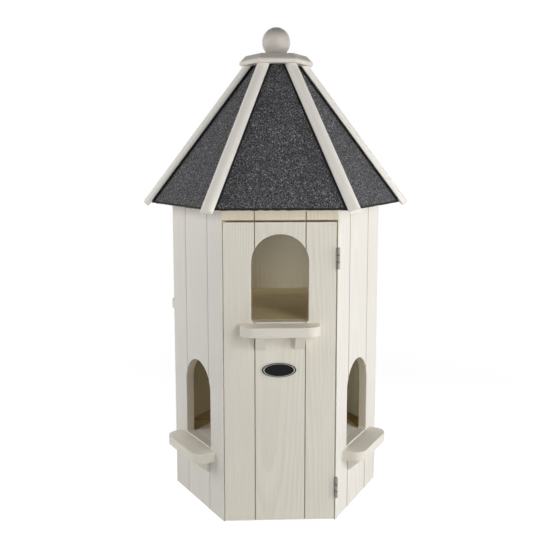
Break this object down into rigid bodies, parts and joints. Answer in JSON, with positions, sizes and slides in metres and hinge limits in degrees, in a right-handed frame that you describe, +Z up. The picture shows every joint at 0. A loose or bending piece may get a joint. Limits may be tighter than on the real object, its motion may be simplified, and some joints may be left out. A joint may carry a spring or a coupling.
{
  "type": "dovecote",
  "caption": "Hexagonal painted wooden dovecote with round-headed openings, bracketed landings, a boarded door on butt hinges and a felted roof with hip battens, cap and ball.",
  "frame": {"origin": "centre of the body's ground face", "axes": "+Z up, -Y is the side with the door, +X is to the right of someone facing the door"},
  "size_m": [0.5876, 0.5134, 1.027],
  "materials": {
    "painted_wood": "thin cream wash, matt",
    "roofing_felt": "mineral granules, matt",
    "hinge_steel": "zinc plated, dull",
    "name_plate_enamel": "black enamel with a bare rim, satin"
  },
  "bodies": {
    "house": {"front_header": "painted_wood", "front_left_wall": "painted_wood", "front_right_wall": "painted_wood", "back_right_wall": "painted_wood", "back_left_wall": "painted_wood", "back_wall": "painted_wood", "front_left_landing": "painted_wood", "front_right_landing": "painted_wood", "back_right_landing": "painted_wood", "back_left_landing": "painted_wood", "back_landing": "painted_wood", "upper_landing_brackets": "painted_wood", "lower_landing_brackets": "painted_wood", "upper_floor": "painted_wood", "lower_floor": "painted_wood", "front_roof_board": "painted_wood", "front_right_roof_board": "painted_wood", "back_right_roof_board": "painted_wood", "back_roof_board": "painted_wood", "back_left_roof_board": "painted_wood", "front_left_roof_board": "painted_wood", "front_roof_felt": "roofing_felt", "front_right_roof_felt": "roofing_felt", "back_right_roof_felt": "roofing_felt", "back_roof_felt": "roofing_felt", "back_left_roof_felt": "roofing_felt", "front_left_roof_felt": "roofing_felt", "front_left_hip_batten": "painted_wood", "front_right_hip_batten": "painted_wood", "right_hip_batten": "painted_wood", "back_right_hip_batten": "painted_wood", "back_left_hip_batten": "painted_wood", "left_hip_batten": "painted_wood", "roof_cap": "painted_wood", "finial_ball": "painted_wood", "house_hinge_leaves": "hinge_steel", "hinge_pins": "hinge_steel"},
    "door": {"door_panel": "painted_wood", "door_ledges": "painted_wood", "door_landing": "painted_wood", "door_landing_brackets": "painted_wood", "name_plate": "name_plate_enamel", "door_hinge_leaves": "hinge_steel"}
  },
  "joints": [
    {"name": "door_hinge", "type": "hinge", "parent": "house", "child": "door", "pos_m": [0.11592, -0.20328, 0], "axis": [0, 0, 1], "range_deg": [0, 180]}
  ]
}
